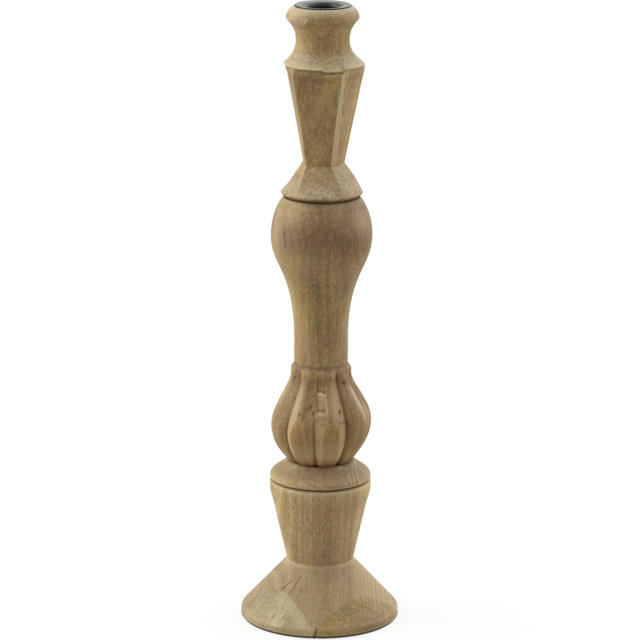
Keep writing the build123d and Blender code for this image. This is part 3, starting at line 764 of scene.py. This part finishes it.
def foot_mesh():
    """Whole turned foot and pedestal, before the glued blocks are told apart."""
    # Rounded edge of the foot, then the straight cone up to the waist
    lean = np.arctan2(WAIST - EDGE, FOOT_R - WAIST_R + 0.25)
    bend = 5.0
    centre = (FOOT_R - bend, EDGE - bend * np.tan((pi / 2 - lean) / 2))
    rows = path((5.0, WOOD), ((FOOT_R - 1.1, WOOD), 4), ((FOOT_R, WOOD + 1.4), 0.4),
                ((FOOT_R, centre[1]), 0.8))
    rows += [(centre[0] + bend * cos(a), centre[1] + bend * sin(a))
             for a in np.linspace(0, pi / 2 - lean, 10)]
    rows = rows[:-1] + path(rows[-1], ((WAIST_R + 1.25, WAIST - 1.6), 0.9))
    rows += [(WAIST_R + 0.65, WAIST - 0.9), (WAIST_R + 0.2, WAIST - 0.3)]
    rows += [(WAIST_R, WAIST + 0.3), (WAIST_R, WAIST + 1.0)]
    rows += path((WAIST_R + 0.2, WAIST + 2), ((FLARE_R, FLARE), 0.9))
    rows += turned((PEDESTAL_R, LOW_JOINT - 3), (FLARE_R, FLARE), 0.45, 0.3, 0.68, 14)[::-1]
    rows += path((PEDESTAL_R, LOW_JOINT - 2.5), ((PEDESTAL_R - 0.1, LOW_JOINT - 1.2), 0.7))
    rows += [(PEDESTAL_R - 0.6, LOW_JOINT - 0.8), (PEDESTAL_R - 1.5, LOW_JOINT - 0.45)]
    rows += [(GROOVE_R + 0.1, LOW_JOINT - 0.1)]
    rows += path((GROOVE_R, LOW_JOINT), ((DOWEL_BORE, LOW_JOINT), 5), ((DOWEL_BORE, LOW_JOINT - LOW_BORE), 7))
    rows += [(DOWEL_BORE, LOW_JOINT - LOW_BORE)]
    radius, height = spun(rows)
    hand = within(WOOD + 0.5, WOOD + 3, LOW_JOINT - 3, LOW_JOINT - 0.5, height) * (radius > 14)
    uneven = ripple(height, 21, 4, 45, 0.15) - 0.1 - scores(radius, height, FOOT_SCORES)
    # The waist is rubbed pale where a plain hollow would be dark, and the joint and the bottom edge carry
    # painted
    # shade: the dark bottom edge stands in for the contact shadow under the foot
    hollow_shade = 1 - 1.6 * hump(height, WAIST, 3) + 5 * hump(height, LOW_JOINT, 0.8)
    edge_wear_and_shade = 1 - 3.5 * (height < WOOD + 1.6) - 0.9 * hump(height, LOW_JOINT, 2.5)
    tone_and_shade = 0.9 * hump(height, LOW_JOINT, 0.6) * (radius > 30)
    # Growth rings come out as stripes on the right of the core, and the left block has a chalky patch
    across = radius * np.sin(TURN)
    right = within(27, 32, 50, 53, across) * within(12, 16, 31, 37, height)
    stripes = np.maximum(np.sin(2 * pi * (across + 0.5 * np.sin(across / 2.7) + 0.1 * height) / 2.8), -0.4)
    specks = np.random.default_rng(33).normal(0, 1, height.shape)
    specks = (specks + np.roll(specks, 1, 0) + np.roll(specks, -1, 0)) / 2
    chalky = dents(TURN, height, CHALK) * (0.45 + 0.45 * specks)
    # Painted light: the left block is made paler beside its glue line, where it turns away from the left lamp
    into_block = -(CORE_Y.x * radius * np.sin(TURN) - CORE_Y.y * radius * np.cos(TURN))
    into_block = into_block - (CORE_HALF - CORE_OFF)
    clear = (into_block > 0) * (1 - step_up(4, 9, into_block)) * step_up(-52, -38, AZIMUTH)
    above_edge = height > WOOD + 2
    tone_and_shade += 0.3 * stripes * right - 0.8 * np.clip(chalky, 0, 1) * above_edge - 0.34 * clear * above_edge
    tone_and_shade += 0.9 * scores(radius, height, FOOT_SCORES) + dents(TURN, height, PALE_PATCH)
    return skin("foot_whole", radius + hand * uneven, height, TURN, hollow_shade, edge_wear_and_shade, tone_and_shade)


def cut_out(name, whole, cuts):
    """Copy of the whole foot, kept on the inner side of each plane (normal, distance), with closed cuts."""
    shape = bmesh.new()
    shape.from_mesh(whole)
    for normal, distance in cuts:
        found = bmesh.ops.bisect_plane(shape, geom=shape.verts[:] + shape.edges[:] + shape.faces[:],
                                       dist=1e-7,
                                       plane_co=normal * distance * MM, plane_no=normal, clear_outer=True)
        rim = [e for e in found["geom_cut"] if isinstance(e, bmesh.types.BMEdge)]
        if rim:
            bmesh.ops.triangle_fill(shape, edges=rim, use_beauty=True)
    bmesh.ops.recalc_face_normals(shape, faces=shape.faces[:])
    mesh = bpy.data.meshes.new(name)
    shape.to_mesh(mesh)
    shape.free()
    mesh.shade_smooth()
    mesh.set_sharp_from_angle(angle=CRISP)
    return mesh


whole_foot = foot_mesh()
CORE_SIDES = {
    "x_far": (CORE_X, CORE_HALF + CORE_OFF),
    "x_near": (-CORE_X, CORE_HALF - CORE_OFF),
    "y_far": (CORE_Y, CORE_HALF + CORE_OFF),
    "y_near": (-CORE_Y, CORE_HALF - CORE_OFF),
}
# Open glue lines: side of the core, height they reach, depth
OPEN_LINES = (("x_far", 8.5, 0.9), ("y_near", 3.5, 0.7))


def open_glue(mesh):
    """Opens the two glue lines at the front edge of the foot: pressed in, and painted near black inside,
    standing in for the shade in the narrow gap.
    """
    shade_values = mesh.attributes["crease"].data
    for side, reach, deep in OPEN_LINES:
        normal, distance = CORE_SIDES[side]
        for point, mark in zip(mesh.vertices, shade_values):
            level, beside = point.co.z / MM, abs(point.co.dot(normal) / MM - distance)
            if beside < 0.2 and level < reach and point.co.y < -0.05:
                outward = Vector((point.co.x, point.co.y, 0)).normalized()
                point.co -= outward * MM * deep * (1 - 0.6 * level / reach)
                # Painted shade inside the gap
                mark.value = 1.2


core = cut_out("pedestal_and_core", whole_foot, [(n, d - GLUE) for n, d in CORE_SIDES.values()])
open_glue(core)
place("pedestal_and_core", core, "stand", "pedestal_core", PEDESTAL_WOOD)
between = [CORE_SIDES["x_far"], CORE_SIDES["x_near"]]
for name, node, side, ends, slot, wood in (
    ("block_front_left", "foot_block_front_left", "y_near", between, "pale_mango_wood", PALE_WOOD),
    ("block_back_right", "foot_block_back_right", "y_far", between, "mango_wood", BACK_WOOD),
    ("block_front_right", "foot_block_front_right", "x_far", [], "mango_wood", RIGHT_WOOD),
    ("block_back_left", "foot_block_back_left", "x_near", [], "mango_wood", BACK_WOOD),
):
    normal, distance = CORE_SIDES[side]
    mesh = cut_out(name, whole_foot, [(-normal, -distance - GLUE)] + [(n, d - GLUE) for n, d in ends])
    open_glue(mesh)
    place(name, mesh, "stand", node, wood)
bpy.data.meshes.remove(whole_foot)


# Candle cup and felt

# Underside of the cup and floor of its socket
CUP_FOOT, SOCKET_FLOOR = 413.9, 414.8


def cup_mesh():
    """Pressed cup: rolled edge, slightly dished flange, rounded mouth, straight socket with a floor."""
    rows = path((4.0, CUP_FOOT), ((11.6, CUP_FOOT), 2)) + [(12.0, CUP_FOOT + 0.15),
                                                           (SLEEVE_R, CUP_FOOT + 0.5)]
    rows += path((SLEEVE_R, CUP_FOOT + 0.7), ((SLEEVE_R, RECESS_FLOOR - 0.9), 3))
    rows += [(12.18, RECESS_FLOOR - 0.4), (12.3, RECESS_FLOOR), (12.7, RECESS_FLOOR + 0.2)]
    rows += path((13.2, RECESS_FLOOR + 0.3), ((17.4, RIM - 0.02), 1)) + path((17.5, RIM), ((19.2, RIM), 0.6))
    rows += [(19.36, RIM + 0.06), (19.47, RIM + 0.24), (FLANGE_R, RIM + 0.5), (19.47, TOP - 0.24)]
    rows += [(19.36, TOP - 0.07), (19.15, TOP)]
    # The flange is dished only a little and turns down at the mouth of the socket
    rows += path((18.9, TOP), ((18.3, TOP), 0.5)) + [(17.9, TOP - 0.07), (17.3, TOP - 0.24),
                                                     (16.5, TOP - 0.4)]
    rows += [(15.5, TOP - 0.53), (14.5, TOP - 0.64), (13.6, TOP - 0.76), (12.9, TOP - 0.92),
             (12.3, TOP - 1.2)]
    rows += [(11.85, TOP - 1.6), (11.5, TOP - 2.2), (SOCKET_R + 0.05, TOP - 3)]
    rows += path((SOCKET_R, TOP - 4), ((SOCKET_R, SOCKET_FLOOR + 0.6), 2.5))
    rows += [(11.1, SOCKET_FLOOR + 0.15), (10.7, SOCKET_FLOOR), (6.0, SOCKET_FLOOR)]
    return skin("zinc_cup", *spun(rows))


place("zinc_cup", cup_mesh(), "cup", "candle_cup", ZINC)


def felt_mesh():
    """Felt disc with a slightly uneven cut edge."""
    rows = path((20.0, 0.0), ((FELT_R - 0.4, 0.0), 4))
    rows += [(FELT_R - 0.1, 0.15), (FELT_R, 0.5), (FELT_R - 0.1, 0.85)]
    rows += path((FELT_R - 0.4, 0.97), ((20.0, 0.97), 4))
    radius, height = spun(rows)
    return skin("felt_pad", radius + (radius > 50) * (ripple(height, 5, 40, 10, 0.12) - 0.15), height)


felt = place("felt_pad", felt_mesh(), "stand", "base_felt", FELT)

for node in ("lower_dowel", "upper_dowel"):
    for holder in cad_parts[node].material_slots:
        holder.material = DOWEL_WOOD


# Floor, light and camera

ROOM_LIGHT = 0.04
WHITE_SHARE = 0.86
# Each lamp: name, azimuth and height it shines from, spread, strength
LAMPS = (
    ("left_lamp", -94, 30, 60, 4.5),
    ("right_lamp", 108, 41, 90, 3.8),
    ("top_lamp", -8, 62, 60, 0.3),
)
# Camera: focal length and sensor in millimetres, distance and aim in metres, pitch and roll
FOCAL_LENGTH, SENSOR, DISTANCE = 192.4, 36.0, 2.3935
AIM, PITCH, ROLL = Vector((-0.0008, 0, 0.2172)), radians(14.4), radians(0.3)


def background_rays(tree):
    """1 for the rays that show the background: to the camera, mirrored, or through glass."""
    rays = add(tree, "ShaderNodeLightPath").outputs
    seen = rays["Is Camera Ray"]
    for kind in ("Is Glossy Ray", "Is Transmission Ray"):
        seen = add(tree, "ShaderNodeMath", {}, {0: seen, 1: rays[kind]}, operation="MAXIMUM").outputs[0]
    return seen


def pale_floor():
    """Pale studio floor that the camera sees as white, with the stand's shadow kept."""
    material, tree, out = fresh("pale_floor")
    matt = add(tree, "ShaderNodeBsdfDiffuse", {"Color": linear("#DCDBD8")})
    glow = add(tree, "ShaderNodeEmission", {"Color": (1, 1, 1, 1), "Strength": 1.0})
    share = add(tree, "ShaderNodeMath", {1: WHITE_SHARE}, {0: background_rays(tree)}, operation="MULTIPLY")
    shade = add(tree, "ShaderNodeMixShader", {},
                {0: share.outputs[0], 1: matt.outputs[0], 2: glow.outputs[0]})
    tree.links.new(shade.outputs[0], out.inputs["Surface"])
    return material


ground = bpy.data.meshes.new("floor")
ground.from_pydata([(-6, -4, 0), (6, -4, 0), (6, 10, 0), (-6, 10, 0)], [], [(0, 1, 2, 3)])
ground.materials.append(pale_floor())
floor = bpy.data.objects.new("floor", ground)
bpy.context.scene.collection.objects.link(floor)

world = bpy.data.worlds.new("studio")
bpy.context.scene.world = world
world.use_nodes = True
sky = world.node_tree
sky.nodes.clear()
strength = add(sky, "ShaderNodeMapRange", {"To Min": ROOM_LIGHT, "To Max": 1.0},
               {"Value": background_rays(sky)})
glow = add(sky, "ShaderNodeBackground", {"Color": (1, 1, 1, 1)}, {"Strength": strength.outputs[0]})
add(sky, "ShaderNodeOutputWorld", {}, {"Surface": glow.outputs[0]})

for name, azimuth, elevation, spread, energy in LAMPS:
    lamp = bpy.data.lights.new(name, "SUN")
    lamp.angle, lamp.energy = radians(spread), energy
    lamp_stand = bpy.data.objects.new(name, lamp)
    turn, lift = radians(azimuth), radians(elevation)
    source = Vector((cos(lift) * sin(turn), -cos(lift) * cos(turn), sin(lift)))
    lamp_stand.rotation_euler = source.to_track_quat("Z", "Y").to_euler()
    bpy.context.scene.collection.objects.link(lamp_stand)

lens = bpy.data.cameras.new("camera")
lens.lens, lens.sensor_width = FOCAL_LENGTH, SENSOR
lens.clip_end = 50
camera = bpy.data.objects.new("camera", lens)
camera.matrix_world = (Matrix.Translation(AIM + DISTANCE * Vector((0, -cos(PITCH), sin(PITCH))))
                       @ Matrix.Rotation(pi / 2 - PITCH, 4, "X") @ Matrix.Rotation(ROLL, 4, "Z"))
bpy.context.scene.collection.objects.link(camera)
bpy.context.scene.camera = camera
bpy.context.scene.view_settings.view_transform = "Standard"

bpy.context.view_layer.update()
